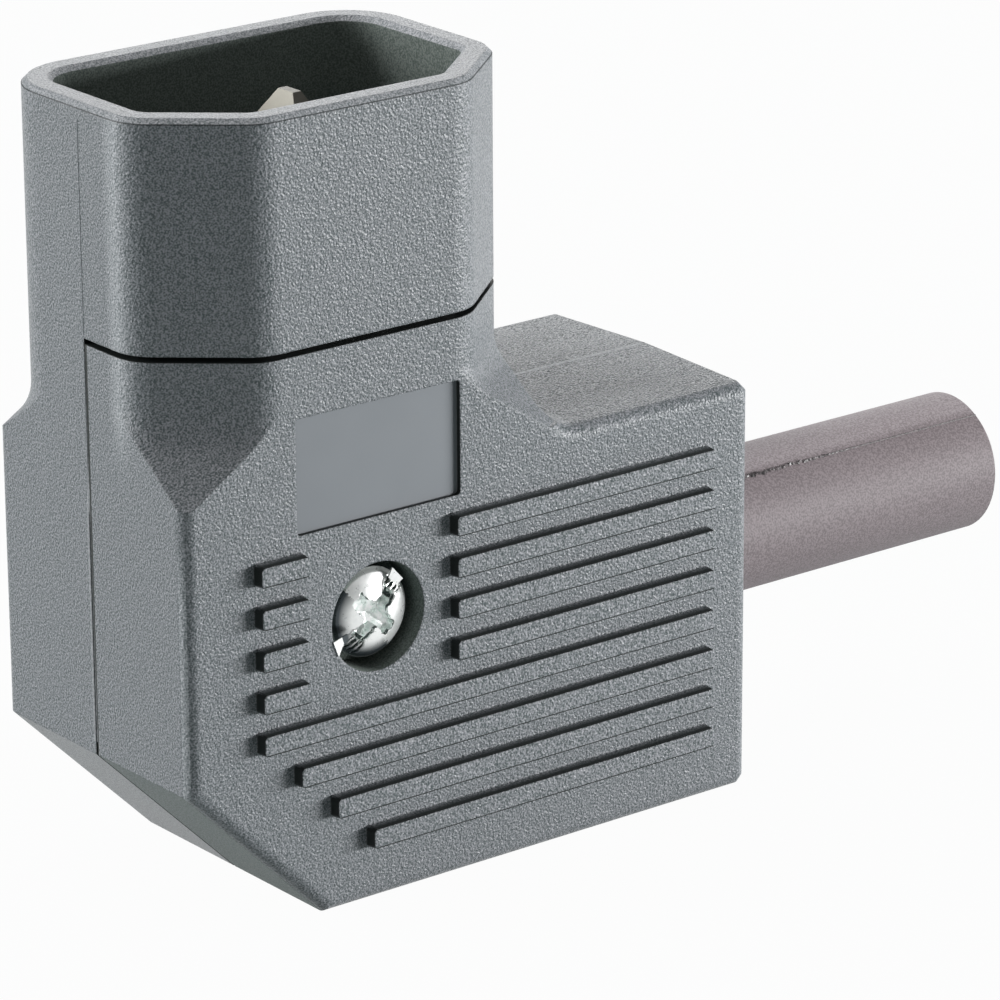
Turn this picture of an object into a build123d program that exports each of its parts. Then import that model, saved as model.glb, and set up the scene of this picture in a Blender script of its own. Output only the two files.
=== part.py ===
"""Angled three-pin appliance plug that is opened by one screw.

Millimetres.  X runs towards the cable, the ribbed front faces -Y, Z is up.
The origin is on the base, on the axis of the mating shroud, in the parting plane.
"""
import os
from math import atan2, degrees, hypot, sqrt

from build123d import *

# Mating shroud, a standard interface that sets the scale
CAVITY_LENGTH = 24.5
CAVITY_WIDTH = 15.75
CAVITY_DEPTH = 16.7
WALL = 2.0
BEVEL_ALONG = 6.3
BEVEL_ACROSS = 5.3
BEVEL_ROUND = 3.2
REAR_ROUND = 4.8
RIM_CHAMFER = 0.35

# Housing
PLUG_HEIGHT = 52.9
HOUSING_DEPTH = 20.5
BOX_HEIGHT = 28.4
RIDGE_RISE = 0.33
BOX_REACH = 31.2
CORNER_CUT = 10.35
EDGE_ROUND = 0.9
END_CHAMFER = 0.6
COVE_ROUND = 2.5
FLARE_ROUND = 3.4
FRONT_SHOULDER = 0.4
REAR_SHOULDER = 0.9
FLOOR_THICKNESS = 2.2
SEAM_ABOVE_FLOOR = 1.55

# Joints between the two mouldings
SEAM_GAP = 0.36
LIP_THICKNESS = 0.95
LAP_CLEARANCE = 0.1
TONGUE_THICKNESS = 0.8
TONGUE_DEPTH = 1.2
PARTING_GAP_TOP = 0.05
PARTING_GAP_BASE = 0.22

# Grip ribs
RIB_ROWS = 8
RIB_PITCH = 2.79
RIB_FACE = 1.28
RIB_HEIGHT = 0.85
RIB_TOP = 24.71
RIB_LEFT = -9.05
RIB_RIGHT = 27.56
RIB_CORNER = 0.22
RIB_DRAFT = 0.1
SHORT_RIB_LENGTH = 3.67
SCREW_FIELD_RIGHT = 6.19
SPLIT_ROWS = 4

# Bare label recess
LABEL_LENGTH = 12.77
LABEL_HEIGHT = 7.6
LABEL_X = 0.66
LABEL_ABOVE_SCREW = 10.48
LABEL_DEPTH = 0.35
LABEL_ROUND = 0.25

# Screw that closes the housing
COVER_SCREW_X = 0.44
COVER_HEAD_RADIUS = 2.97
COVER_HEAD_HEIGHT = 2.05
COVER_HEAD_DOME = 0.75
COVER_SHANK_RADIUS = 1.5
COVER_SHANK_LENGTH = 11.4
COVER_SLOT_ANGLE = 46.0
COVER_SLOT_WIDTH = 0.85
COVER_SLOT_DEPTH = 0.95
CROSS_WIDTH = 0.95
CROSS_LENGTH = 3.7
CROSS_DEPTH = 1.2
COUNTERBORE_RADIUS = 3.63
COUNTERBORE_DEPTH = 2.65
BOSS_WALL = 1.3
BOSS_BELOW_CARRIER = 0.8
HOLE_BEYOND_SHANK = 0.5
THREAD_CLEARANCE = 0.04

# Pins and terminals
PIN_THICKNESS = 2.0
PIN_WIDTH = 4.0
PIN_SPACING = 14.0
EARTH_OFFSET = 4.0
EARTH_TIP_BELOW_RIM = 1.06
POWER_TIP_BELOW_RIM = 3.9
PIN_TIP_LENGTH = 1.6
PIN_TIP_FLAT_X = 0.65
PIN_TIP_FLAT_Y = 1.5
PIN_CLEARANCE = 0.08
TERMINAL_SIZE = 6.0
TERMINAL_CHAMFER = 0.5
TERMINAL_HEIGHT = 9.2
WIRE_HOLE_RADIUS = 1.3
WIRE_HOLE_DEPTH = 6.0
TERMINAL_SCREW_LEVEL = 3.4
TERMINAL_SHANK_RADIUS = 1.45
TERMINAL_SHANK_LENGTH = 2.9
TERMINAL_HEAD_RADIUS = 2.3
TERMINAL_HEAD_HEIGHT = 1.7
SMALL_SLOT_WIDTH = 0.75
SMALL_SLOT_DEPTH = 0.75

# Carrier that holds the terminals
CARRIER_FRONT = -5.4
CARRIER_CLEARANCE = 0.15
CARRIER_SHELF = 2.0
WIRE_GUIDE_RADIUS = 1.6
LEDGE_HEIGHT = 2.0
LEDGE_LENGTH = 1.7
LEDGE_DEPTH = 5.5

# Cable entry, bend sleeve and cord clamp
CABLE_ABOVE_MIDDLE = 0.25
SLEEVE_RADIUS = 4.9
SLEEVE_REACH = 27.6
SLEEVE_BORE_RADIUS = 3.5
SLEEVE_END_CHAMFER = 0.3
COLLAR_RADIUS = 6.7
COLLAR_LENGTH = 3.2
ENTRY_CLEARANCE = 0.06
CLAMP_X = 20.4
CLAMP_LENGTH = 5.2
CLAMP_THICKNESS = 2.8
CLAMP_CORNER = 1.4
CLAMP_END_ROOM = 2.0
CLAMP_FACE_Y = -2.6
CLAMP_ARCH_RADIUS = 3.7
CLAMP_BOSS_RADIUS = 2.6
CLAMP_SHANK_RADIUS = 1.25
CLAMP_SHANK_LENGTH = 8.5
CLAMP_HEAD_RADIUS = 2.4
CLAMP_HEAD_HEIGHT = 1.6
CRADLE_LENGTH = 2.4
CRADLE_TOP_Y = 1.0
COLLAR_STOP_LENGTH = 1.4
ROOT_DEPTH = 0.2

# Derived sizes
half_length = CAVITY_LENGTH / 2 + WALL
half_width = HOUSING_DEPTH / 2
inner_width = half_width - WALL
shroud_rear = CAVITY_WIDTH + 2 * WALL - half_width
cavity_y = (shroud_rear - half_width) / 2
floor_top = PLUG_HEIGHT - CAVITY_DEPTH
floor_bottom = floor_top - FLOOR_THICKNESS
seam_height = floor_top + SEAM_ABOVE_FLOOR
ridge_height = BOX_HEIGHT + RIDGE_RISE
bevel_depth = BEVEL_ALONG * BEVEL_ACROSS / hypot(BEVEL_ALONG, BEVEL_ACROSS)
rear_round_depth = hypot(REAR_ROUND, REAR_ROUND + half_width - shroud_rear) - REAR_ROUND
seat_y = -half_width + COUNTERBORE_DEPTH
power_y = cavity_y + EARTH_OFFSET / 2
earth_y = cavity_y - EARTH_OFFSET / 2
terminal_top = floor_bottom
terminal_bottom = terminal_top - TERMINAL_HEIGHT
carrier_bottom = terminal_bottom - CARRIER_SHELF
boss_radius = COVER_SHANK_RADIUS + BOSS_WALL
screw_z = carrier_bottom - BOSS_BELOW_CARRIER - boss_radius
label_z = screw_z + LABEL_ABOVE_SCREW
lap_inset = WALL - LIP_THICKNESS
cable_z = BOX_HEIGHT / 2 + CABLE_ABOVE_MIDDLE
clamp_half_height = BOX_HEIGHT / 2 - WALL - CLAMP_END_ROOM
clamp_screw_offset = clamp_half_height - CLAMP_BOSS_RADIUS
clamp_screw_levels = [cable_z - clamp_screw_offset, cable_z + clamp_screw_offset]
far = 2 * BOX_REACH
beyond = 1.0
tiny = 0.01


def along_y(radius, x, z, y_from, y_to):
    """Cylinder on an axis that runs front to back."""
    axis = Plane(origin=(x, y_from, z), x_dir=(1, 0, 0), z_dir=(0, 1, 0))
    return extrude(axis * Circle(radius), y_to - y_from)


def along_x(radius, x_from, x_to):
    """Cylinder on the axis of the cable."""
    axis = Plane(origin=(x_from, 0, cable_z), x_dir=(0, 1, 0), z_dir=(1, 0, 0))
    return extrude(axis * Circle(radius), x_to - x_from)


def block(x_from, x_to, y_from, y_to, z_from, z_to):
    """Rectangular block between limits."""
    centre = ((x_from + x_to) / 2, (y_from + y_to) / 2, (z_from + z_to) / 2)
    return Pos(*centre) * Box(x_to - x_from, y_to - y_from, z_to - z_from)


def shroud_outline(inset=0.0):
    """Plan of the keyed shroud: two front bevels, two rounded rear corners."""
    rear = [(-half_length, shroud_rear), (half_length, shroud_rear)]
    front = [
        (half_length, BEVEL_ACROSS - half_width),
        (half_length - BEVEL_ALONG, -half_width),
        (BEVEL_ALONG - half_length, -half_width),
        (-half_length, BEVEL_ACROSS - half_width),
    ]
    plan = make_face(Polyline(*rear, *front, close=True))
    plan = fillet([v for v in plan.vertices() if v.Y > shroud_rear - tiny], REAR_ROUND)
    corners = [v for v in plan.vertices() if any(hypot(v.X - x, v.Y - y) < tiny for x, y in front)]
    plan = fillet(corners, BEVEL_ROUND)
    return offset(plan, -inset, kind=Kind.INTERSECTION) if inset else plan


def prism(outline, z_from, z_to):
    """Upright prism on a plan outline."""
    return extrude(Pos(0, 0, z_from) * outline, z_to - z_from)


def flared_neck(shoulder, corner_depth):
    """Shroud prism that flares at 45 degrees, through a hollow curve, to the full corners."""
    turn = shoulder + corner_depth
    plan = Pos(0, 0, turn) * shroud_outline()
    upper = extrude(plan, PLUG_HEIGHT - turn)
    lower = extrude(plan, turn - shoulder + beyond, dir=(0, 0, -1), taper=-45)
    neck = upper + lower
    level = [e for e in neck.edges() if e.bounding_box().size.Z < tiny]
    hollow = [e for e in level if abs(e.center().Z - turn) < tiny]
    neck = fillet(hollow, FLARE_ROUND)
    rim = [e for e in neck.edges() if abs(e.bounding_box().min.Z - PLUG_HEIGHT) < tiny]
    return chamfer(rim, RIM_CHAMFER)


def box_profile(inset=0.0):
    """Side profile of the cable box with its cut corner."""
    left = -half_length + inset
    diagonal = CORNER_CUT - half_length + inset * sqrt(2)
    points = [
        (left, diagonal - left),
        (left, ridge_height - inset),
        (BOX_REACH - inset, ridge_height - inset),
        (BOX_REACH - inset, inset),
        (diagonal - inset, inset),
    ]
    return make_face(Polyline(*points, close=True))


def neck_cove(side):
    """Hollow curve between the neck and one slope of the box roof."""
    corner = (half_length, ridge_height)
    upper = (half_length, ridge_height + COVE_ROUND)
    toe = (half_length + COVE_ROUND, ridge_height)
    middle = (toe[0] - COVE_ROUND / sqrt(2), upper[1] - COVE_ROUND / sqrt(2))
    outline = Line(corner, upper) + ThreePointArc(upper, middle, toe) + Line(toe, corner)
    slope = (0, side * half_width, -RIDGE_RISE)
    return extrude(Plane.XZ * make_face(outline), hypot(half_width, RIDGE_RISE), dir=slope)


def is_cable_end(edge):
    """Whether an edge runs from front to back along the cable end of the box."""
    size = edge.bounding_box().size
    at_end = edge.center().X > BOX_REACH - tiny and edge.center().Z < ridge_height
    return at_end and size.X < tiny and size.Y > half_width - EDGE_ROUND


def borders_flat_side(edge):
    """Whether an edge borders the flat front or rear face."""
    on_side = abs(abs(edge.center().Y) - half_width) < tiny
    return on_side and edge.bounding_box().size.Y < tiny and edge.center().Z < PLUG_HEIGHT


def outer_form():
    """Outside of both mouldings together, as one solid."""
    roof = [
        (-half_width, 0),
        (half_width, 0),
        (half_width, BOX_HEIGHT),
        (0, ridge_height),
        (-half_width, BOX_HEIGHT),
    ]
    roof_form = Pos(-far, 0, 0) * extrude(Plane.YZ * make_face(Polyline(*roof, close=True)), 2 * far)
    body = extrude(Plane.XZ * box_profile(), half_width, both=True) & roof_form
    body += block(-half_length, half_length, -half_width, half_width, WALL + CORNER_CUT, PLUG_HEIGHT + beyond)
    for side in (-1, 1):
        body += neck_cove(side)
    body = chamfer([e for e in body.edges() if is_cable_end(e)], END_CHAMFER)
    body = fillet([e for e in body.edges() if borders_flat_side(e)], EDGE_ROUND)
    above = PLUG_HEIGHT + 2 * beyond
    front_zone = block(-far, far, -far, 0, BOX_HEIGHT + FRONT_SHOULDER, above)
    rear_zone = block(-far, far, 0, far, BOX_HEIGHT + FRONT_SHOULDER, above)
    front_neck = flared_neck(BOX_HEIGHT + FRONT_SHOULDER, bevel_depth)
    rear_neck = flared_neck(BOX_HEIGHT + REAR_SHOULDER, rear_round_depth)
    body -= front_zone - front_neck
    body -= rear_zone - rear_neck
    return body


def inner_space():
    """Hollow below the shroud floor."""
    lower = extrude(Plane.XZ * box_profile(WALL), inner_width, both=True)
    lower -= block(-far, far, -far, far, BOX_HEIGHT - WALL, far)
    return lower + prism(shroud_outline(WALL), CORNER_CUT + WALL, floor_bottom)


def inner_profile(grow=0.0):
    """Side profile of the hollow, for the tongue and groove at the parting plane."""
    lower = box_profile(WALL) - Pos(0, BOX_HEIGHT - WALL + far) * Rectangle(4 * far, 2 * far)
    neck_bottom = CORNER_CUT + WALL
    neck = Pos(0, (neck_bottom + floor_bottom) / 2) * Rectangle(CAVITY_LENGTH, floor_bottom - neck_bottom)
    return Plane.XZ * offset(lower + neck, grow, kind=Kind.INTERSECTION)


def tongue():
    """Tongue of the rear shell that closes the parting line inside the cover."""
    return extrude(inner_profile(TONGUE_THICKNESS), TONGUE_DEPTH)


def groove():
    """Room for the tongue in the cover."""
    return extrude(inner_profile(TONGUE_THICKNESS + LAP_CLEARANCE), TONGUE_DEPTH + LAP_CLEARANCE)


def cavity():
    """Mating cavity above the shroud floor."""
    return prism(shroud_outline(WALL), floor_top, PLUG_HEIGHT + beyond)


def cover_zone(top, parting_top, parting_base):
    """Space in front of the parting plane and below the seam."""
    slope = [
        (-far, -beyond),
        (-parting_base, -beyond),
        (-parting_top, top),
        (-far, top),
    ]
    return Pos(-far, 0, 0) * extrude(Plane.YZ * make_face(Polyline(*slope, close=True)), 2 * far)


def grip_ribs(face_y, outward, split_rows):
    """Rows of raised ribs; the upper rows may stop for the screw."""
    ribs = []
    for row in range(RIB_ROWS):
        z = RIB_TOP - RIB_FACE / 2 - row * RIB_PITCH
        start = RIB_LEFT + max(0, row - SPLIT_ROWS) * RIB_PITCH
        spans = [(start, RIB_RIGHT)]
        if row < split_rows:
            spans = [(start, start + SHORT_RIB_LENGTH), (SCREW_FIELD_RIGHT, RIB_RIGHT)]
        for left, right in spans:
            middle = ((left + right) / 2, face_y, z)
            root = Plane(origin=middle, x_dir=(-outward, 0, 0), z_dir=(0, outward, 0))
            outline = Rectangle(right - left + 2 * RIB_DRAFT, RIB_FACE + 2 * RIB_DRAFT)
            shape = root * chamfer(outline.vertices(), RIB_CORNER)
            rib = extrude(shape, RIB_HEIGHT, taper=degrees(atan2(RIB_DRAFT, RIB_HEIGHT)))
            foot = extrude(shape, -WALL / 2)
            ribs.append(rib + foot)
    return ribs


def entry_hole():
    """Round hole for the bend sleeve, shared by both mouldings."""
    return along_x(SLEEVE_RADIUS + ENTRY_CLEARANCE, BOX_REACH - 2 * WALL, BOX_REACH + WALL)


def make_rear_shell(outer, inner):
    """Rear half of the housing with the whole shroud and its floor."""
    lip = prism(shroud_outline(lap_inset), floor_bottom, seam_height + beyond)
    shell = outer - (cover_zone(seam_height + SEAM_GAP / 2, 0, 0) - lip)
    shell = shell + (tongue() & outer) - inner - cavity()
    mouth = [e for e in shell.edges() if abs(e.center().Z - PLUG_HEIGHT) < tiny]
    shell = chamfer([e for e in mouth if on_cavity(e)], RIM_CHAMFER)
    wall_y = inner_width + ROOT_DEPTH
    shell += along_y(boss_radius, COVER_SCREW_X, screw_z, boss_face(), wall_y)
    for level in clamp_screw_levels:
        shell += along_y(CLAMP_BOSS_RADIUS, CLAMP_X, level, CLAMP_FACE_Y, wall_y)
    cradle = block(CLAMP_X - CRADLE_LENGTH / 2, CLAMP_X + CRADLE_LENGTH / 2, CRADLE_TOP_Y, wall_y,
                   clamp_screw_levels[0], clamp_screw_levels[1])
    shell += cradle - along_x(CLAMP_ARCH_RADIUS, 0, BOX_REACH)
    stop_right = BOX_REACH - WALL - COLLAR_LENGTH
    stop = block(stop_right - COLLAR_STOP_LENGTH, stop_right, CRADLE_TOP_Y, wall_y,
                 cable_z - COLLAR_RADIUS, cable_z + COLLAR_RADIUS)
    shell += stop - along_x((COLLAR_RADIUS + SLEEVE_BORE_RADIUS) / 2, 0, BOX_REACH)
    for side in (-1, 1):
        outer_x = side * (CAVITY_LENGTH / 2 + ROOT_DEPTH)
        inner_x = side * (CAVITY_LENGTH / 2 - LEDGE_LENGTH)
        shell += block(min(outer_x, inner_x), max(outer_x, inner_x), inner_width - LEDGE_DEPTH, wall_y,
                       carrier_bottom - LEDGE_HEIGHT, carrier_bottom)
    for rib in grip_ribs(half_width, 1, 0):
        shell += rib
    shell -= entry_hole()
    shell -= along_y(COVER_SHANK_RADIUS + THREAD_CLEARANCE, COVER_SCREW_X, screw_z, -far,
                     seat_y + COVER_SHANK_LENGTH + HOLE_BEYOND_SHANK)
    for level in clamp_screw_levels:
        shell -= along_y(CLAMP_SHANK_RADIUS + THREAD_CLEARANCE, CLAMP_X, level, -far,
                         CLAMP_FACE_Y - CLAMP_THICKNESS + CLAMP_SHANK_LENGTH + HOLE_BEYOND_SHANK)
    for x, y in pin_places():
        shell -= block(x - PIN_THICKNESS / 2 - PIN_CLEARANCE, x + PIN_THICKNESS / 2 + PIN_CLEARANCE,
                       y - PIN_WIDTH / 2 - PIN_CLEARANCE, y + PIN_WIDTH / 2 + PIN_CLEARANCE,
                       floor_bottom - beyond, floor_top + beyond)
    return shell


def on_cavity(edge):
    """Whether an edge lies on the outline of the mating cavity."""
    outline = Pos(0, 0, PLUG_HEIGHT) * shroud_outline(WALL)
    return any((edge.center() - e.center()).length < 5 * tiny for e in outline.edges())


def boss_face():
    """Plane where the rear screw boss stops short of the cover's boss."""
    return seat_y + WALL + LAP_CLEARANCE


def make_front_cover(outer, inner):
    """Front half of the housing, lapped over the lip of the shroud."""
    lap_top = seam_height - SEAM_GAP / 2
    zone = cover_zone(lap_top, PARTING_GAP_TOP, PARTING_GAP_BASE)
    recess = prism(shroud_outline(lap_inset - LAP_CLEARANCE), floor_bottom - LAP_CLEARANCE,
                   seam_height + beyond)
    cover = (outer & zone) - inner - recess - groove()
    cover += along_y(COUNTERBORE_RADIUS + BOSS_WALL, COVER_SCREW_X, screw_z,
                     -half_width + WALL / 2, seat_y + WALL)
    for rib in grip_ribs(-half_width, -1, SPLIT_ROWS):
        cover += rib
    label = Plane(origin=(LABEL_X, LABEL_DEPTH - half_width, label_z), x_dir=(1, 0, 0), z_dir=(0, -1, 0))
    cover -= extrude(label * RectangleRounded(LABEL_LENGTH, LABEL_HEIGHT, LABEL_ROUND), 2 * LABEL_DEPTH)
    cover -= along_y(COUNTERBORE_RADIUS, COVER_SCREW_X, screw_z, -far, seat_y)
    cover -= along_y(COVER_SHANK_RADIUS + LAP_CLEARANCE, COVER_SCREW_X, screw_z, -far, 0)
    cover -= entry_hole()
    return cover


def make_cover_screw():
    """Domed screw with a slot and a cross recess."""
    dome_start = COVER_HEAD_HEIGHT - COVER_HEAD_DOME
    tip = -COVER_SHANK_LENGTH
    outline = Line((0, tip), (COVER_SHANK_RADIUS, tip))
    outline += Line((COVER_SHANK_RADIUS, tip), (COVER_SHANK_RADIUS, 0))
    outline += Line((COVER_SHANK_RADIUS, 0), (COVER_HEAD_RADIUS, 0))
    outline += Line((COVER_HEAD_RADIUS, 0), (COVER_HEAD_RADIUS, dome_start))
    cap_radius = (COVER_HEAD_RADIUS ** 2 + COVER_HEAD_DOME ** 2) / (2 * COVER_HEAD_DOME)
    bulge_radius = COVER_HEAD_RADIUS / 2
    bulge = (bulge_radius, COVER_HEAD_HEIGHT - cap_radius + sqrt(cap_radius ** 2 - bulge_radius ** 2))
    outline += ThreePointArc((COVER_HEAD_RADIUS, dome_start), bulge, (0, COVER_HEAD_HEIGHT))
    outline += Line((0, COVER_HEAD_HEIGHT), (0, tip))
    screw = revolve(Plane.XZ * make_face(outline), Axis.Z)
    turned = Pos(0, 0, COVER_HEAD_HEIGHT) * Rot(0, 0, COVER_SLOT_ANGLE)
    screw -= turned * Box(far, COVER_SLOT_WIDTH, 2 * COVER_SLOT_DEPTH)
    screw -= turned * Box(CROSS_WIDTH, CROSS_LENGTH, 2 * CROSS_DEPTH)
    screw -= turned * Box(CROSS_LENGTH, CROSS_WIDTH, 2 * CROSS_DEPTH)
    place = Plane(origin=(COVER_SCREW_X, seat_y, screw_z), x_dir=(1, 0, 0), z_dir=(0, -1, 0))
    return place * screw


def slotted_screw(x, seat, z, head_radius, head_height, shank_radius, shank_length):
    """Cheese-head screw that faces the front."""
    screw = along_y(head_radius, x, z, seat - head_height, seat)
    screw += along_y(shank_radius, x, z, seat, seat + shank_length)
    face = seat - head_height
    half_slot = SMALL_SLOT_WIDTH / 2
    return screw - block(x - 2 * head_radius, x + 2 * head_radius, face - SMALL_SLOT_DEPTH,
                         face + SMALL_SLOT_DEPTH, z - half_slot, z + half_slot)


def pin_places():
    """Axes of the three pins: earth first, then the two power pins."""
    return [(0, earth_y), (-PIN_SPACING / 2, power_y), (PIN_SPACING / 2, power_y)]


def make_pin(x, y, tip_below_rim):
    """Flat pin with a tapered tip, in one piece with its terminal."""
    tip = PLUG_HEIGHT - tip_below_rim
    side = [
        (-PIN_THICKNESS / 2, terminal_top),
        (PIN_THICKNESS / 2, terminal_top),
        (PIN_THICKNESS / 2, tip - PIN_TIP_LENGTH),
        (PIN_TIP_FLAT_X / 2, tip),
        (-PIN_TIP_FLAT_X / 2, tip),
        (-PIN_THICKNESS / 2, tip - PIN_TIP_LENGTH),
    ]
    front = [
        (-PIN_WIDTH / 2, terminal_top),
        (PIN_WIDTH / 2, terminal_top),
        (PIN_WIDTH / 2, tip - PIN_TIP_LENGTH),
        (PIN_TIP_FLAT_Y / 2, tip),
        (-PIN_TIP_FLAT_Y / 2, tip),
        (-PIN_WIDTH / 2, tip - PIN_TIP_LENGTH),
    ]
    blade = extrude(Plane.XZ * make_face(Polyline(*side, close=True)), PIN_WIDTH, both=True)
    blade &= extrude(Plane.YZ * make_face(Polyline(*front, close=True)), PIN_THICKNESS, both=True)
    half = TERMINAL_SIZE / 2
    terminal = block(-half, half, -half, half, terminal_bottom, terminal_top)
    upright = [e for e in terminal.edges() if e.bounding_box().size.Z > TERMINAL_HEIGHT - tiny]
    terminal = chamfer(upright, TERMINAL_CHAMFER)
    terminal -= Pos(0, 0, terminal_bottom) * extrude(Circle(WIRE_HOLE_RADIUS), WIRE_HOLE_DEPTH)
    screw_level = terminal_bottom + TERMINAL_SCREW_LEVEL
    terminal -= along_y(TERMINAL_SHANK_RADIUS + THREAD_CLEARANCE, 0, screw_level, -far, 0)
    return Pos(x, y, 0) * (blade + terminal)


def make_terminal_screw(x, y):
    """Screw that presses the wire inside a terminal."""
    level = terminal_bottom + TERMINAL_SCREW_LEVEL
    return slotted_screw(x, y - TERMINAL_SIZE / 2, level, TERMINAL_HEAD_RADIUS, TERMINAL_HEAD_HEIGHT,
                         TERMINAL_SHANK_RADIUS, TERMINAL_SHANK_LENGTH)


def make_pin_carrier():
    """Comb-shaped insert under the shroud floor, open to the front for the terminals."""
    plan = shroud_outline(WALL + CARRIER_CLEARANCE)
    carrier = prism(plan, carrier_bottom, floor_bottom - CARRIER_CLEARANCE)
    carrier -= block(-far, far, -far, CARRIER_FRONT, 0, far)
    gap = TERMINAL_SIZE / 2 + PIN_CLEARANCE
    for x, y in pin_places():
        carrier -= block(x - gap, x + gap, -far, y + gap, terminal_bottom, far)
        carrier -= Pos(x, y, 0) * extrude(Circle(WIRE_GUIDE_RADIUS), far)
    return carrier


def make_bend_sleeve():
    """Soft tube that guards the cord, with a collar held inside the housing."""
    wall_inside = BOX_REACH - WALL
    sleeve = along_x(SLEEVE_RADIUS, wall_inside - COLLAR_LENGTH / 2, BOX_REACH + SLEEVE_REACH)
    end = [e for e in sleeve.edges() if e.geom_type == GeomType.CIRCLE and e.center().X > BOX_REACH]
    sleeve = chamfer(end, SLEEVE_END_CHAMFER)
    sleeve += along_x(COLLAR_RADIUS, wall_inside - COLLAR_LENGTH, wall_inside)
    return sleeve - along_x(SLEEVE_BORE_RADIUS, 0, 2 * far)


def make_cord_clamp():
    """Bar with an arch that presses on the cord."""
    bar = block(CLAMP_X - CLAMP_LENGTH / 2, CLAMP_X + CLAMP_LENGTH / 2, CLAMP_FACE_Y - CLAMP_THICKNESS,
                CLAMP_FACE_Y, cable_z - clamp_half_height, cable_z + clamp_half_height)
    ends = [e for e in bar.edges() if e.bounding_box().size.Y > CLAMP_THICKNESS - tiny]
    bar = chamfer(ends, CLAMP_CORNER)
    bar -= along_x(CLAMP_ARCH_RADIUS, 0, BOX_REACH)
    for level in clamp_screw_levels:
        bar -= along_y(CLAMP_SHANK_RADIUS + LAP_CLEARANCE, CLAMP_X, level, -far, far)
    return bar


def make_clamp_screw(level):
    """One of the two screws that draw the cord clamp down."""
    return slotted_screw(CLAMP_X, CLAMP_FACE_Y - CLAMP_THICKNESS, level, CLAMP_HEAD_RADIUS, CLAMP_HEAD_HEIGHT,
                         CLAMP_SHANK_RADIUS, CLAMP_SHANK_LENGTH)


def build():
    """All pieces by node name."""
    outer = outer_form()
    inner = inner_space()
    earth, left, right = pin_places()
    return {
        "rear_shell": make_rear_shell(outer, inner),
        "front_cover": make_front_cover(outer, inner),
        "cover_screw": make_cover_screw(),
        "pin_carrier": make_pin_carrier(),
        "earth_pin": make_pin(*earth, EARTH_TIP_BELOW_RIM),
        "left_power_pin": make_pin(*left, POWER_TIP_BELOW_RIM),
        "right_power_pin": make_pin(*right, POWER_TIP_BELOW_RIM),
        "earth_terminal_screw": make_terminal_screw(*earth),
        "left_terminal_screw": make_terminal_screw(*left),
        "right_terminal_screw": make_terminal_screw(*right),
        "bend_sleeve": make_bend_sleeve(),
        "cord_clamp": make_cord_clamp(),
        "lower_clamp_screw": make_clamp_screw(clamp_screw_levels[0]),
        "upper_clamp_screw": make_clamp_screw(clamp_screw_levels[1]),
    }


os.makedirs("parts", exist_ok=True)
for node, shape in build().items():
    export_step(shape, "parts/" + node + ".step")
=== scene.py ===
import math
import random

import bmesh
import bpy
from mathutils import Matrix, Vector


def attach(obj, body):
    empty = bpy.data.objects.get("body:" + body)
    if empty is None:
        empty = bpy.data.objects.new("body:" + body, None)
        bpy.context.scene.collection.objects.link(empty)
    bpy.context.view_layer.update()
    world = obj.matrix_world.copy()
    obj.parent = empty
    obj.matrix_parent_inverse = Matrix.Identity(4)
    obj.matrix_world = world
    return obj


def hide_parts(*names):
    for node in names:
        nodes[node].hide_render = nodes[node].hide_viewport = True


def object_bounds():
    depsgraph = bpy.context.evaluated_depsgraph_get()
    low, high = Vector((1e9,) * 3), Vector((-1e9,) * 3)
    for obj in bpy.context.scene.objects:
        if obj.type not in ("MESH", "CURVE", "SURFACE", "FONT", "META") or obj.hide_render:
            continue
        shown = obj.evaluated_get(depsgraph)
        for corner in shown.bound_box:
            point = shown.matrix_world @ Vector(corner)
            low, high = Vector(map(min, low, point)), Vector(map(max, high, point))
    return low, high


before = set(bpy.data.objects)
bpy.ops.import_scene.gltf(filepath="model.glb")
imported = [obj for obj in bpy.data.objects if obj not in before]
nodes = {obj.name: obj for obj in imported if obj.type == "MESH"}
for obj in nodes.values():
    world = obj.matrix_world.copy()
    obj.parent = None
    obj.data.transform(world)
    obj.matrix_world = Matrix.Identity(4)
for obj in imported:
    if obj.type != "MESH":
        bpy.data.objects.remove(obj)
cad_low, cad_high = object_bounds()

# Metres in a millimetre
MM = 0.001

# Housing in millimetres; its outermost faces come from the bounds of model.glb
LEFT_END = cad_low[0] / MM
RIB_FACE = cad_low[1] / MM
RIM_HEIGHT = cad_high[2] / MM
FRONT_FACE = -10.25
WALL = 2.0
RIM_CHAMFER = 0.35
RIM_FOOT = RIM_HEIGHT - RIM_CHAMFER
SEAM_LOW = 37.55
SEAM_HIGH = 37.92
PARTING_DEPTH = 0.27
PARTING_HALF = 0.03
CUT_LINE = -3.9
BOX_TOP = 28.4
BOX_TOP_START = 16.5

# Distance in millimetres by which a limit clears the face that it follows
MARGIN = 0.02

# Grip ribs in millimetres, with the painted shadow line on their lower edges and the fades of the painted
# shade on their sides
RIB_LOW_EDGE = 23.43
RIB_PITCH = 2.79
RIB_WIDTH = 1.27
RIB_RIGHT_END = 27.5
RIB_SHADOW_LINE = 0.07
RIB_SHADE_FADE = 0.12
RIB_UPPER_SHADE_FADE = 0.4

# Label place in millimetres
LABEL_CENTRE = (0.66, 29.68)
LABEL_HALF = (6.39, 3.8)
LABEL_FLOOR = -9.9
LABEL_SKIN = 0.1

# Mating cavity in millimetres, with the painted shade line round the outside of its rim
CAVITY_HALF = (12.25, 7.875)
CAVITY_MIDDLE_Y = -0.375
CAVITY_SLANT = 10.96
CAVITY_FOOT = 29.55
BEVEL_NORMAL = (0.644, 0.765)
RIM_SHADE_LINE = 0.05
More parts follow.
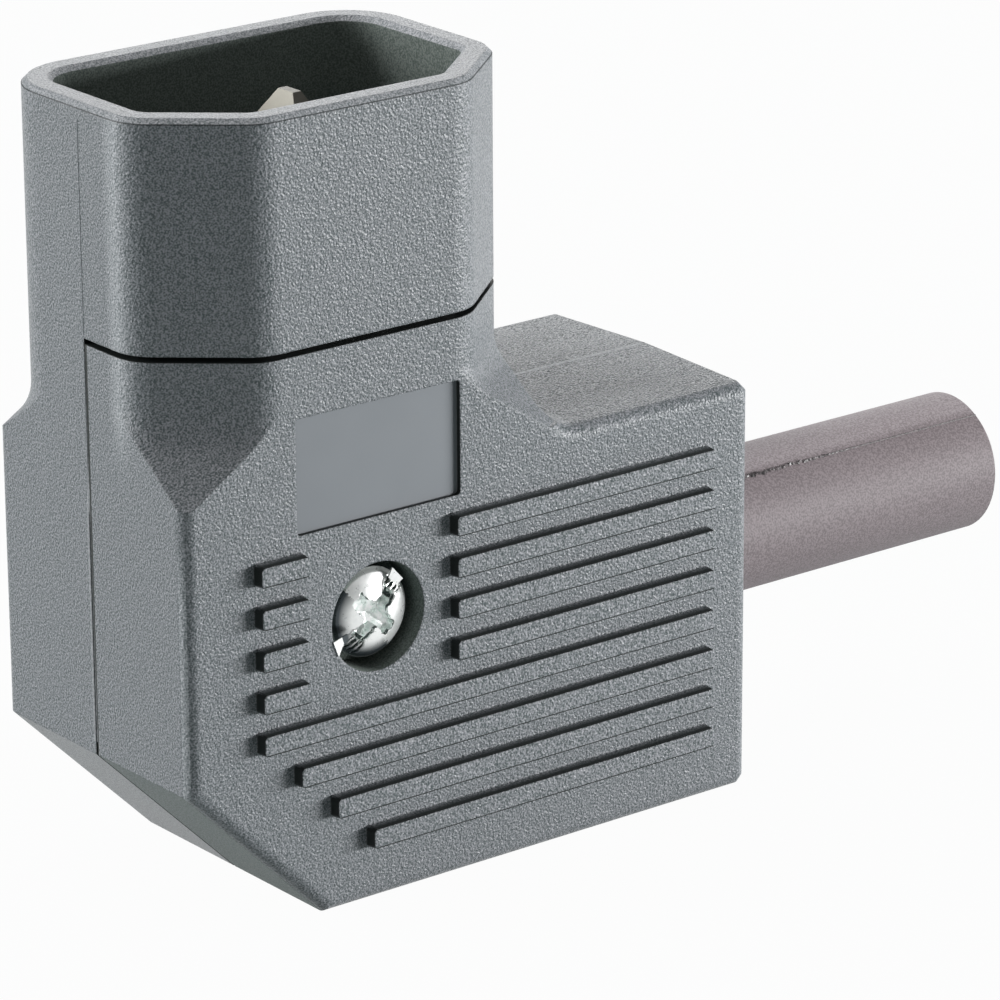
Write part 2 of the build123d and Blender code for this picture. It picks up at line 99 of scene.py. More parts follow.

# Painted highlights on edges in millimetres: where they lie and how far they fade
HIGHLIGHT_EDGE_Y = -3.75
HIGHLIGHT_HALF_WIDTH = 1.3
HIGHLIGHT_EDGE_FOOT = 30.0
HIGHLIGHT_EDGE_CLIMB = 4.0
BOX_EDGE_Y = -9.5
BOX_EDGE_TOP = 28.0
BOX_EDGE_FADE = 5.0
TOP_SIDE_START = 5.5
TOP_SIDE_FADE = 6.0
TOP_END_START = 24.0
TOP_END_FADE = 9.0

# How strongly painted shade or a painted highlight shows in some places, from nought to one
TOP_BORDER_HIGHLIGHT_SHARE = 0.6
CUT_CORNER_SHADE_SHARE = 0.6
RIM_SHADE_SHARE = 0.7
RIM_HIGHLIGHT_SHARE = 0.65

# Grain of the housing: sizes in millimetres, then what its places do to relief and roughness
PORE_SIZE = 0.17
PORE_WARP = 0.4
PORE_DEPTH = 0.06
GRAIN_SIZE = 0.115
DRIFT_SIZE = 6.0
EDGE_ROUND = 0.22
COARSE_RELIEF = 1.5
PAINTED_SHADE_CALM = 0.7
GRAIN_ROUGHNESS = 0.38
EVEN_MATT = 0.12
PAINTED_SHADE_MATT = 0.5
PLASTIC_SPECULAR = 0.3

# Bend sleeve: sizes in millimetres, then its grain, with the fade of its painted light
CABLE_HEIGHT = 14.45
SLEEVE_RADIUS = 4.9
SLEEVE_SPAN = (31.3, 58.5)
SLEEVE_DRIFT_SIZE = 3.0
SLEEVE_DRIFT_STRETCH = (0.3, 1, 1)
SLEEVE_GRAIN_SIZE = 0.13
SLEEVE_GRAIN_DEPTH = 0.01
SLEEVE_GRAIN_SHARE = 0.8
SLEEVE_LIGHT_FADE = 0.4
SLEEVE_ROUGHNESS = 0.6

# Flash on the left end in millimetres: height, offset from the parting plane, half width and rise
FLASH_OFFSET = 0.6 * PARTING_DEPTH
SHROUD_FLASH = (
    (SEAM_HIGH + 0.2, 0, 0.05, 0.035),
    (RIM_HEIGHT - 1, 0, 0.05, 0.035),
)
PARTING_FLASH = (
    (SEAM_LOW - 0.5, 0, 0.04, 0.02),
    (33, 0, 0.1, 0.05),
    (28, 0, 0.3, 0.05),
    (26, FLASH_OFFSET, 0.3, 0.04),
    (11.2, FLASH_OFFSET, 0.3, 0.04),
)

# Flash on the box top in millimetres
RIDGE_HEIGHT = 28.73
RIDGE_SPAN = (17.0, 30.4)
RIDGE_HALF_WIDTH = 0.45
RIDGE_RISE = 0.05

# Flash on the sleeve in millimetres and degrees, with what tearing adds to it
SLEEVE_FLASH_ANGLE = 56.0
SLEEVE_FLASH_STEPS = 170
SLEEVE_FLASH_SEED = 3
SLEEVE_FLASH_HALF_WIDTH = 0.13
SLEEVE_FLASH_RISE = 0.06
SLEEVE_TORN_SHARE = 0.62
SLEEVE_TORN_WANDER = 0.22
SLEEVE_TORN_HALF_WIDTH = 0.24
SLEEVE_TORN_RISE = 0.3

# Every flash line: depth of its foot and size of its crumbs in millimetres, then how rough they are
FLASH_FOOT = 0.1
FLASH_CRUMB_SIZE = 0.25
FLASH_CRUMB_ROUGH = 0.6
FLASH_ROUGHNESS = 0.4

# Cover screw in millimetres and degrees
SCREW_CENTRE = (0.44, 19.2)
COUNTERBORE_RADIUS = 3.63
HEAD_RADIUS = 2.97
HEAD_EDGE = -9.3
HEAD_SEAT = -7.6
HEAD_DOME = 0.78
HEAD_EDGE_DROP = 0.15
HEAD_EDGE_WIDTH = 0.3
HEAD_LEAN = 88.0
HEAD_COLUMNS = 130
HEAD_ROWS = 180
SHANK_RADIUS = 1.5
SHANK_END = 3.8
SHANK_SIDES = 40

# Recess of the screw in millimetres and degrees
SLOT_ANGLE = 46.0
SLOT_HALF = 0.42
SLOT_FLARE = 0.38
SLOT_FLARE_START = 1.0
SLOT_DEPTH = 0.85
CROSS_HALF = 0.5
CROSS_REACH = 1.85
CROSS_TAPER = 0.2
CROSS_DEPTH = 1.25
CROSS_RISE = 0.4
HEART_SPAN = (1.15, 1.3)
RECESS_SOFT = 0.05

# Wear of the recess: its torn floor and raised lips in millimetres
TORN_FROM = 1.3
TORN_LENGTH = 0.4
TORN_RISE = 0.55
LIP_OFFSET = 0.09
LIP_WIDTH = 0.07
LIP_RISE = 0.06
LIP_SPAN = (0.9, 1.7)
LIP_END = 0.4

# Scratches in radians for each millimetre, and waves by height, radians for each millimetre and shift
SCRATCH_ACROSS = 16
SCRATCH_ALONG = 1.6
ACROSS_WAVES = ((0.05, 5.3, 0.6), (0.03, 12.1, 0.0))
ALONG_WAVES = ((0.06, 4.7, 2.0), (0.03, 13.0, 0.0))

# Corners of the torn burrs in millimetres, in X and Z from the screw's middle
LOWER_BURR = (
    (-3.6, -10.36, -0.9),
    (-2.5, -10.32, -0.6),
    (-2.05, -10.2, -0.85),
    (-2.9, -10.2, -1.5),
    (-3.2, -10.36, -1.95),
)
UPPER_BURR = (
    (1.42, -9.9, 2.85),
    (2.2, -9.95, 1.95),
    (1.7, -9.9, 1.6),
    (1.15, -9.85, 2.2),
)
BURR_THICKNESS = 0.09

# Zinc of the screw, with painted shade and painted light: depths under the dome in millimetres, reaches
# as shares of the squared radius
RECESS_START = 0.12
RECESS_FADE = 1 / 6
RECESS_WALL = (0.0367, 0.27)
RECESS_WALL_REACH = 0.8
RECESS_WALL_MARKS = 0.47
GROOVE_DEPTH = 0.32
GROOVE_START = TORN_FROM + 0.2
SHADE_DIRECTION = (0.8, 0.6)
SHADE_OFFSET = 0.9
SHADE_START = 0.34
SHADE_FADE = 1 / 2.4
SHADE_END = 1.02
ZINC_MARK_SIZE = 0.35
ZINC_MARK_DETAIL = 3.0
ZINC_MARK_ROUGH = 0.6
ZINC_METALLIC = 0.6
ZINC_ROUGHNESS = 0.22

# Other metals: their handling marks, the dull tip in millimetres and their roughness
MARK_SIZE = 0.4
MARK_DETAIL = 4.0
MARK_ROUGH = 0.65
MARK_ROUGHNESS = 0.15
DULL_TIP = 1.6
NICKEL_ROUGHNESS = 0.42
SMALL_SCREW_ROUGHNESS = 0.35

# Plastic of the pieces inside, with its grain in millimetres
CARRIER_GRAIN_SIZE = 0.5
CARRIER_GRAIN_DETAIL = 3.0
CARRIER_GRAIN_ROUGH = 0.6
CARRIER_ROUGHNESS = 0.45

# Colours of the finishes, each as a dark and a light end; some stand for painted shade, painted
# highlights, painted glints and painted light
OUTSIDE_GREY = ((0.085, 0.104, 0.108), (0.297, 0.304, 0.327))
PAINTED_SHADE_GREY = ((0.098, 0.122, 0.11), (0.198, 0.229, 0.212))
COARSE_GLINT_GREY = ((0.05, 0.064, 0.064), (0.345, 0.355, 0.37))
PAINTED_HIGHLIGHT_GREY = ((0.21, 0.23, 0.24), (0.47, 0.48, 0.505))
SATIN_GREY = ((0.205, 0.22, 0.238), (0.22, 0.235, 0.254))
SHADE_AND_JOINT_BLACK = ((0.012, 0.016, 0.015), (0.017, 0.022, 0.021))
SLEEVE_MAUVE = ((0.172, 0.146, 0.153), (0.262, 0.224, 0.235))
SLEEVE_PAINTED_LIGHT = ((0.27, 0.236, 0.246), (0.4, 0.355, 0.37))
PALE_FLASH = ((0.3, 0.31, 0.325), (0.46, 0.47, 0.49))
SHADED_FLASH_BLACK = ((0.015, 0.012, 0.013), (0.13, 0.11, 0.115))
BRIGHT_NICKEL = ((0.5, 0.48, 0.43), (0.58, 0.56, 0.5))
DULL_NICKEL = ((0.17, 0.165, 0.145), (0.2, 0.194, 0.17))
BRIGHT_ZINC = ((0.84, 0.86, 0.85), (0.94, 0.95, 0.94))
LIGHTENED_RECESS_ZINC = ((0.66, 0.75, 0.71), (1.0, 1.0, 1.0))
DULL_ZINC = ((0.602, 0.602, 0.5848), (0.7, 0.7, 0.68))
CARRIER_BLACK = ((0.03, 0.031, 0.033), (0.05, 0.052, 0.055))

# How far from the middle of a noise its dark and light ends lie
USUAL_SPREAD = 0.2
COARSE_SPREAD = 0.16
SLEEVE_SPREAD = 0.14
FLASH_SPREAD = 0.1
RECESS_SPREAD = 0.15

# Single colours with their opacity
SHADED_ZINC = (0.06, 0.072, 0.08, 1)
GROOVE_SHADE_ZINC = (0.07, 0.09, 0.085, 1)
FLOOR_COLOUR = (0.23, 0.3, 0.3, 1)
WHITE = (1, 1, 1, 1)

# Studio: sizes and places in metres, shares and strengths of light
FLOOR_HALF = 3.0
FLOOR_WHITE = 0.97
AIR_STRENGTH = 0.17
LAMP_AIM = (0.012, 0, 0.028)

# Camera: place and clipping in metres, turn in degrees, lens and sensor in millimetres
CAMERA_PLACE = (-0.193104, -0.269376, 0.139377)
CAMERA_TURN = (70.8182, 0.2821, -38.2166)
CAMERA_LENS = 197.46
CAMERA_SENSOR = 36
CAMERA_NEAR = 0.01
CAMERA_FAR = 20


class Finish:
    """A procedural material with the few node recipes that the finishes share."""

    def __init__(self, name):
        self.material = bpy.data.materials.new(name)
        self.material.use_nodes = True
        self.parts = self.material.node_tree.nodes
        self.links = self.material.node_tree.links
        self.shader = self.parts["Principled BSDF"]
        place = self.parts.new("ShaderNodeTexCoord")
        scale = self.parts.new("ShaderNodeMapping")
        scale.inputs["Scale"].default_value = (1 / MM, 1 / MM, 1 / MM)
        self.links.new(place.outputs["Object"], scale.inputs["Vector"])
        self.place = scale.outputs["Vector"]

    def feed(self, socket, value):
        """Sets a socket to a plain value or links another socket to it."""
        if isinstance(value, bpy.types.NodeSocket):
            self.links.new(value, socket)
        else:
            socket.default_value = value

    def put(self, name, value):
        """Sets one input of the shader."""
        self.feed(self.shader.inputs[name], value)

    def axes(self):
        """X, Y and Z in millimetres."""
        split = self.parts.new("ShaderNodeSeparateXYZ")
        self.links.new(self.place, split.inputs[0])
        return split.outputs

    def calc(self, operation, first, second=0.0):
        """One arithmetic step."""
        step = self.parts.new("ShaderNodeMath")
        step.operation = operation
        self.feed(step.inputs[0], first)
        self.feed(step.inputs[1], second)
        return step.outputs[0]

    def sum_of(self, *terms):
        """Adds up values, each multiplied by its factor."""
        products = [self.calc("MULTIPLY", value, factor) for value, factor in terms]
        total = products[0]
        for product in products[1:]:
            total = self.calc("ADD", total, product)
        return total

    def apart(self, value, middle):
        """Distance of a value from a middle, to either side."""
        return self.calc("ABSOLUTE", self.calc("SUBTRACT", value, middle))

    def grow(self, value, start, length):
        """Rises from nought at the start to one after this length."""
        share = self.calc("DIVIDE", self.calc("SUBTRACT", value, start), length)
        return self.calc("MINIMUM", self.calc("MAXIMUM", share, 0.0), 1.0)

    def above(self, value, limit):
        """One where the value is above a limit, otherwise nought."""
        return self.calc("GREATER_THAN", value, limit)

    def below(self, value, limit):
        """One where the value is below a limit, otherwise nought."""
        return self.calc("LESS_THAN", value, limit)

    def within(self, value, low, high):
        """One where the value lies between two limits, otherwise nought."""
        return self.all_of(self.above(value, low), self.below(value, high))

    def all_of(self, *masks):
        """Where every mask holds."""
        total = masks[0]
        for mask in masks[1:]:
            total = self.calc("MULTIPLY", total, mask)
        return total

    def any_of(self, *masks):
        """Where at least one mask holds."""
        total = masks[0]
        for mask in masks[1:]:
            total = self.calc("MAXIMUM", total, mask)
        return total

    def outside_of(self, mask):
        """Where a mask doesn't hold."""
        return self.calc("SUBTRACT", 1.0, mask)

    def noise(self, size, detail=2.0, rough=0.5, warp=0.0, stretch=(1, 1, 1)):
        """Noise with lumps about this many millimetres apart."""
        spread = self.parts.new("ShaderNodeMapping")
        spread.inputs["Scale"].default_value = stretch
        self.links.new(self.place, spread.inputs["Vector"])
        lumps = self.parts.new("ShaderNodeTexNoise")
        lumps.inputs["Scale"].default_value = 1 / size
        lumps.inputs["Detail"].default_value = detail
        lumps.inputs["Roughness"].default_value = rough
        lumps.inputs["Distortion"].default_value = warp
        self.links.new(spread.outputs["Vector"], lumps.inputs["Vector"])
        return lumps.outputs["Fac"]

    def shades(self, value, dark, light, spread=USUAL_SPREAD):
        """Colours from dark to light, this far to both sides of the value's middle."""
        band = self.parts.new("ShaderNodeValToRGB")
        first, last = band.color_ramp.elements
        first.position = 0.5 - spread
        first.color = (*dark, 1.0)
        last.position = 0.5 + spread
        last.color = (*light, 1.0)
        self.links.new(value, band.inputs["Fac"])
        return band.outputs["Color"]

    def blend(self, share, first, second):
        """Mixes two colours by a share."""
        mix = self.parts.new("ShaderNodeMix")
        mix.data_type = "RGBA"
        self.feed(mix.inputs["Factor"], share)
        self.feed(mix.inputs["A"], first)
        self.feed(mix.inputs["B"], second)
        return mix.outputs["Result"]

    def raise_by(self, height, distance, edge_round=0.0):
        """Surface relief of this many millimetres, over edges that shade as if rounded."""
        bump = self.parts.new("ShaderNodeBump")
        if edge_round:
            soft = self.parts.new("ShaderNodeBevel")
            soft.inputs["Radius"].default_value = edge_round * MM
            self.links.new(soft.outputs["Normal"], bump.inputs["Normal"])
        bump.inputs["Distance"].default_value = distance * MM
        self.links.new(height, bump.inputs["Height"])
        self.links.new(bump.outputs["Normal"], self.shader.inputs["Normal"])

    def handling_marks(self):
        """Noise like the fine marks on handled metal."""
        return self.noise(MARK_SIZE, MARK_DETAIL, MARK_ROUGH)

    def make_metal(self, marks, roughness, metallic=1.0):
        """Turns the finish into metal that is rougher in its marks."""
        self.put("Metallic", metallic)
        self.put("Roughness", self.calc("ADD", self.calc("MULTIPLY", marks, MARK_ROUGHNESS), roughness))


def grained_plastic(name, places):
    """Blue-grey plastic with a spark-eroded grain, dark joints, and painted shade, highlights and glints
    in places.
    """
    finish = Finish(name)
    black_shade_and_joints, satin, painted_shade, painted_highlight, coarse_and_glints = places(finish)
    pores = finish.noise(PORE_SIZE, detail=0.0, warp=PORE_WARP)
    grain = finish.noise(GRAIN_SIZE, detail=0.0)
    drift = finish.noise(DRIFT_SIZE)
    outside = finish.shades(grain, *OUTSIDE_GREY)
    glinting = finish.shades(grain, *COARSE_GLINT_GREY, spread=COARSE_SPREAD)
    # The box top has a coarser grain, and its wider light and dark contrast stands in part for painted
    # glints
    colour = finish.blend(coarse_and_glints, outside, glinting)
    # Painted shade: a darker grey in the mating cavity, the screw's counterbore and the chamfered corner
    colour = finish.blend(painted_shade, colour, finish.shades(grain, *PAINTED_SHADE_GREY))
    # Painted highlights: a paler grey on edges, on the rim and on the borders of the box top
    colour = finish.blend(painted_highlight, colour, finish.shades(grain, *PAINTED_HIGHLIGHT_GREY))
    # Painted shade: nearly black on the sides of the ribs and the label place and on the rim line, with
    # the dark joints
    colour = finish.blend(black_shade_and_joints, colour, finish.shades(drift, *SHADE_AND_JOINT_BLACK))
    colour = finish.blend(satin, colour, finish.shades(drift, *SATIN_GREY))
    finish.put("Base Color", colour)
    even = finish.any_of(black_shade_and_joints, satin)
    calm = finish.any_of(even, finish.calc("MULTIPLY", painted_shade, PAINTED_SHADE_CALM))
    lively = finish.calc("MULTIPLY", coarse_and_glints, COARSE_RELIEF)
    relief = finish.calc("ADD", finish.outside_of(calm), lively)
    finish.raise_by(finish.calc("MULTIPLY", pores, relief), PORE_DEPTH, EDGE_ROUND)
    matt = finish.sum_of((even, EVEN_MATT), (painted_shade, PAINTED_SHADE_MATT))
    finish.put("Roughness", finish.calc("ADD", GRAIN_ROUGHNESS, matt))
    finish.put("Specular IOR Level", PLASTIC_SPECULAR)
    return finish.material


def bevel_edge_highlight(finish, x, y, z):
    """How strongly the upright edge left of the front bevel is painted pale as a painted highlight, from
    the flare upwards.
    """
    away = finish.grow(finish.apart(y, HIGHLIGHT_EDGE_Y), 0.0, HIGHLIGHT_HALF_WIDTH)
    climb = finish.grow(z, HIGHLIGHT_EDGE_FOOT, HIGHLIGHT_EDGE_CLIMB)
    return finish.all_of(finish.outside_of(away), climb, finish.below(x, LEFT_END + WALL / 4))


def box_edge_highlight(finish, x, y, z):
    """How strongly the upright front edge of the box is painted pale as a painted highlight, fading out
    towards the flare.
    """
    beside = finish.all_of(finish.below(x, LEFT_END + WALL / 8), finish.below(y, BOX_EDGE_Y))
    down = finish.calc("SUBTRACT", BOX_EDGE_TOP, z)
    return finish.all_of(beside, finish.grow(down, 0.0, BOX_EDGE_FADE))


def box_top(finish, x, y, z):
    """The box top, and how strongly its borders are painted pale as a painted highlight."""
    level = finish.within(z, BOX_TOP - MARGIN, SEAM_LOW - WALL)
    top = finish.all_of(level, finish.above(x, BOX_TOP_START))
    sides = finish.grow(finish.apart(y, 0.0), TOP_SIDE_START, TOP_SIDE_FADE)
    end = finish.grow(x, TOP_END_START, TOP_END_FADE)
    return top, finish.all_of(top, TOP_BORDER_HIGHLIGHT_SHARE, finish.any_of(sides, end))


def from_screw(finish, x, z):
    """Offsets from the screw's axis in X and Z, and the square of the distance."""
    off_x = finish.calc("SUBTRACT", x, SCREW_CENTRE[0])
    off_z = finish.calc("SUBTRACT", z, SCREW_CENTRE[1])
    return off_x, off_z, finish.sum_of((off_x, off_x), (off_z, off_z))


def front_rib_shade(finish, x, y, z):
    """Sides of the front ribs in black painted shade, fading in towards their crests, and a painted
    shadow line on their lower edges.
    """
    count = finish.calc("DIVIDE", finish.calc("SUBTRACT", z, RIB_LOW_EDGE), RIB_PITCH)
    row = finish.calc("FRACT", count)
    upper = finish.above(row, RIB_WIDTH / RIB_PITCH)
    fade = finish.calc("ADD", RIB_SHADE_FADE, finish.calc("MULTIPLY", upper, RIB_UPPER_SHADE_FADE))
    rise = finish.grow(finish.calc("SUBTRACT", FRONT_FACE - MARGIN, y), 0.0, fade)
    behind_crest = finish.above(y, RIB_FACE + MARGIN)
    sides = finish.all_of(rise, behind_crest, finish.below(x, RIB_RIGHT_END))
    crest = finish.below(y, RIB_FACE + MARGIN)
    shadow_lines = finish.all_of(crest, finish.below(row, RIB_SHADOW_LINE / RIB_PITCH))
    return finish.any_of(sides, shadow_lines)


def label_place(finish, x, y, z):
    """Sides of the label place, and its floor."""
    zone = finish.all_of(
        finish.below(finish.apart(x, LABEL_CENTRE[0]), LABEL_HALF[0] + MARGIN),
        finish.below(finish.apart(z, LABEL_CENTRE[1]), LABEL_HALF[1] + MARGIN),
    )
    sides = finish.all_of(zone, finish.within(y, FRONT_FACE + MARGIN, LABEL_FLOOR - MARGIN))
    floor = finish.all_of(zone, finish.within(y, LABEL_FLOOR - MARGIN, LABEL_FLOOR + LABEL_SKIN))
    return sides, floor


def cover_places(finish):
    """Painted black shade with joints, satin, painted grey shade, painted highlight and glinting places
    of the front cover.
    """
    x, y, z = finish.axes()
    shaded_label_sides, label = label_place(finish, x, y, z)
    top, top_border_highlight = box_top(finish, x, y, z)
    gaps = finish.any_of(finish.above(z, SEAM_LOW), finish.above(y, -PARTING_DEPTH))
    joints = finish.all_of(finish.outside_of(top), gaps)
    # Black painted shade on the sides of the ribs and the label place, with the dark joints
    black_shade_and_joints = finish.any_of(front_rib_shade(finish, x, y, z), shaded_label_sides, joints)
    square = from_screw(finish, x, z)[2]
    round_screw = finish.below(square, (COUNTERBORE_RADIUS + MARGIN) ** 2)
    # Grey painted shade inside the counterbore and on the chamfered corner
    well = finish.all_of(round_screw, finish.above(y, FRONT_FACE + MARGIN))
    cut = finish.below(finish.calc("ADD", x, z), CUT_LINE + 2 * MARGIN)
    painted_shade = finish.any_of(well, finish.calc("MULTIPLY", cut, CUT_CORNER_SHADE_SHARE))
    # Painted highlights on two upright edges and on the borders of the box top
    painted_highlight = finish.any_of(bevel_edge_highlight(finish, x, y, z), box_edge_highlight(finish, x, y, z), top_border_highlight)
    return black_shade_and_joints, label, painted_shade, painted_highlight, top


def shell_places(finish):
    """Painted black shade with joints, satin, painted grey shade, painted highlight and glinting places
    of the rear shell, none satin.
    """
    x, y, z = finish.axes()
    off_x = finish.apart(x, 0.0)
    slant = finish.sum_of((off_x, BEVEL_NORMAL[0]), (y, -BEVEL_NORMAL[1]))
    hollow = finish.all_of(
        finish.below(off_x, CAVITY_HALF[0] + WALL / 4),
        finish.below(finish.apart(y, CAVITY_MIDDLE_Y), CAVITY_HALF[1] + WALL / 4),
        finish.below(slant, CAVITY_SLANT + WALL / 4),
    )
    # Grey painted shade inside the mating cavity
    cavity = finish.all_of(hollow, finish.within(z, CAVITY_FOOT, RIM_FOOT + MARGIN))
    inner_lip_highlight = finish.all_of(hollow, finish.within(z, RIM_FOOT + MARGIN, RIM_HEIGHT - MARGIN))
    # A painted shade line round the outside of the rim
    rim_line = finish.within(z, RIM_FOOT - MARGIN, RIM_FOOT + RIM_SHADE_LINE)
    rim_shade_line = finish.all_of(finish.outside_of(hollow), RIM_SHADE_SHARE, rim_line)
    # Painted highlight on the rim and its inner lip
    rim = finish.calc("MULTIPLY", finish.above(z, RIM_FOOT + RIM_SHADE_LINE), RIM_HIGHLIGHT_SHARE)
    # Black painted shade on the sides of the rear ribs
    behind_front = finish.within(y, -FRONT_FACE + MARGIN, -RIB_FACE - MARGIN)
    shaded_rib_sides = finish.all_of(behind_front, finish.below(x, RIB_RIGHT_END))
    top, top_border_highlight = box_top(finish, x, y, z)
    lip = finish.all_of(finish.below(z, SEAM_HIGH), finish.below(y, PARTING_HALF))
    joints = finish.all_of(finish.outside_of(top), lip)
    black_shade_and_joints = finish.any_of(shaded_rib_sides, rim_shade_line, joints)
    painted_highlight = finish.any_of(bevel_edge_highlight(finish, x, y, z), rim, inner_lip_highlight, top_border_highlight)
    satin = 0.0
    return black_shade_and_joints, satin, cavity, painted_highlight, top


def sleeve_vinyl(name):
    """Mauve-grey soft plastic with a fine matt grain, painted lighter above its flash line as painted
    light from above.
    """
    finish = Finish(name)
    drift = finish.noise(SLEEVE_DRIFT_SIZE, stretch=SLEEVE_DRIFT_STRETCH)
    grain = finish.noise(SLEEVE_GRAIN_SIZE, detail=0.0)
    tone = finish.sum_of((drift, 1 - SLEEVE_GRAIN_SHARE), (grain, SLEEVE_GRAIN_SHARE))
    body = finish.shades(tone, *SLEEVE_MAUVE, spread=SLEEVE_SPREAD)
    painted_light = finish.shades(tone, *SLEEVE_PAINTED_LIGHT, spread=SLEEVE_SPREAD)
    # Painted light: the sleeve is painted lighter above its flash line
    painted_light_foot = CABLE_HEIGHT + SLEEVE_RADIUS * math.sin(math.radians(SLEEVE_FLASH_ANGLE))
    upper = finish.grow(finish.axes()[2], painted_light_foot, SLEEVE_LIGHT_FADE)
    finish.put("Base Color", finish.blend(upper, body, painted_light))
    finish.raise_by(grain, SLEEVE_GRAIN_DEPTH)
    finish.put("Roughness", SLEEVE_ROUGHNESS)
    finish.put("Specular IOR Level", PLASTIC_SPECULAR)
    return finish.material


def flash_plastic(name, colours):
    """Thin flash left along a joint of the mould."""
    finish = Finish(name)
    crumbs = finish.noise(FLASH_CRUMB_SIZE, rough=FLASH_CRUMB_ROUGH)
    finish.put("Base Color", finish.shades(crumbs, *colours, spread=FLASH_SPREAD))
    finish.put("Roughness", FLASH_ROUGHNESS)
    return finish.material


def dull_zinc(name):
    """Plating of the small screws, with fine handling marks."""
    finish = Finish(name)
    marks = finish.handling_marks()
    finish.put("Base Color", finish.shades(marks, *DULL_ZINC))
    finish.make_metal(marks, SMALL_SCREW_ROUGHNESS)
    return finish.material


def pin_nickel(name, tip):
    """Nickel plating of the pins, darker near the tip of the longest one."""
    finish = Finish(name)
    marks = finish.handling_marks()
    bright = finish.shades(marks, *BRIGHT_NICKEL)
    dull = finish.shades(marks, *DULL_NICKEL)
    near_tip = finish.above(finish.axes()[2], tip - DULL_TIP)
    finish.put("Base Color", finish.blend(near_tip, bright, dull))
    finish.make_metal(marks, NICKEL_ROUGHNESS)
    return finish.material


def worn_zinc(name):
    """Whitish zinc plating, pale green and lightened as painted light in the recess, with painted shade
    in its torn furrows and along the lower left of the rim.
    """
    finish = Finish(name)
    x, y, z = finish.axes()
    off_x, off_z, square = from_screw(finish, x, z)
    reach = finish.calc("DIVIDE", square, HEAD_RADIUS ** 2)
    dome = finish.calc("ADD", HEAD_EDGE - HEAD_DOME, finish.calc("MULTIPLY", reach, HEAD_DOME))
    depth = finish.calc("SUBTRACT", y, dome)
    marks = finish.noise(ZINC_MARK_SIZE, ZINC_MARK_DETAIL, ZINC_MARK_ROUGH)
    # Painted shade along the lower left of the rim
    lean = finish.sum_of((off_x, SHADE_DIRECTION[0]), (off_z, SHADE_DIRECTION[1]))
    lower_left = finish.below(lean, finish.calc("SUBTRACT", marks, SHADE_OFFSET))
    near_rim = finish.grow(reach, SHADE_START, SHADE_FADE)
    shaded = finish.all_of(lower_left, near_rim, finish.below(reach, SHADE_END))
    turn = math.radians(SLOT_ANGLE)
    along = finish.sum_of((off_x, math.cos(turn)), (off_z, math.sin(turn)))
    # Painted shade in the deep furrows of the torn floor and on the sides of the recess
    shaded_grooves = finish.all_of(
        finish.above(finish.apart(along, 0.0), GROOVE_START),
        finish.above(depth, GROOVE_DEPTH),
        finish.below(reach, 1.0),
    )
    shaded_walls = finish.all_of(
        finish.within(depth, *RECESS_WALL),
        finish.above(marks, RECESS_WALL_MARKS),
        finish.below(reach, RECESS_WALL_REACH),
    )
    # The recess is painted pale green, lightened as painted light
    recess = finish.grow(depth, RECESS_START, RECESS_FADE)
    colour = finish.blend(shaded, finish.shades(marks, *BRIGHT_ZINC), SHADED_ZINC)
    colour = finish.blend(recess, colour, finish.shades(marks, *LIGHTENED_RECESS_ZINC, spread=RECESS_SPREAD))
    finish.put("Base Color", finish.blend(finish.any_of(shaded_grooves, shaded_walls), colour, GROOVE_SHADE_ZINC))
    finish.make_metal(marks, ZINC_ROUGHNESS, ZINC_METALLIC)
    return finish.material


def dark_plastic(name):
    """Satin dark plastic of the pieces inside."""
    finish = Finish(name)
    grain = finish.noise(CARRIER_GRAIN_SIZE, CARRIER_GRAIN_DETAIL, CARRIER_GRAIN_ROUGH)
    finish.put("Base Color", finish.shades(grain, *CARRIER_BLACK))
    finish.put("Roughness", CARRIER_ROUGHNESS)
    return finish.material


def dress(names, material):
    """Gives CAD nodes a finish."""
    for name in names:
        for slot in nodes[name].material_slots:
            slot.material = material


def dress_plug():
    """Finishes of all the CAD nodes."""
    dress(["front_cover"], grained_plastic("grained cover plastic", cover_places))
    dress(["rear_shell"], grained_plastic("grained shell plastic", shell_places))
    dress(["bend_sleeve"], sleeve_vinyl("mauve sleeve vinyl"))
    tip = max(vert.co.z for vert in nodes["earth_pin"].data.vertices) / MM
    dress(["earth_pin", "left_power_pin", "right_power_pin"], pin_nickel("nickel plating", tip))
    small_screws = [name for name in nodes if name.endswith(("terminal_screw", "clamp_screw"))]
    dress(small_screws, dull_zinc("dull zinc"))
    dress(["pin_carrier", "cord_clamp"], dark_plastic("dark carrier plastic"))


def add_piece(name, form, material):
    """Turns a form into a piece of the plug."""
    bmesh.ops.recalc_face_normals(form, faces=form.faces)
    mesh = bpy.data.meshes.new(name)
    form.to_mesh(mesh)
    form.free()
    mesh.materials.append(material)
    piece = bpy.data.objects.new(name, mesh)
    bpy.context.scene.collection.objects.link(piece)
    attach(piece, "root")
    return piece


def of_kind(parts, kind):
    """Only the vertices, edges or faces among the parts of a form."""
    return [part for part in parts if isinstance(part, kind)]


def flash_line(name, path, outward, material):
    """Thin raised line; the path lists points with a half width and a rise, all in millimetres."""
    form = bmesh.new()
    end = None
    for index, (point, half_width, rise) in enumerate(path):
        before = Vector(path[max(index - 1, 0)][0])
        after = Vector(path[min(index + 1, len(path) - 1)][0])
        side = (after - before).normalized().cross(outward) * half_width
        foot = Vector(point) - outward * FLASH_FOOT
        corners = (foot - side, Vector(point) + outward * rise, foot + side)
        if end is None:
            end = form.faces.new([form.verts.new(corner * MM) for corner in corners])
        else:
            grown = bmesh.ops.extrude_face_region(form, geom=[end, *end.edges])["geom"]
            end = of_kind(grown, bmesh.types.BMFace)[0]
            for vert, corner in zip(end.verts, corners):
                vert.co = corner * MM
    add_piece(name, form, material)


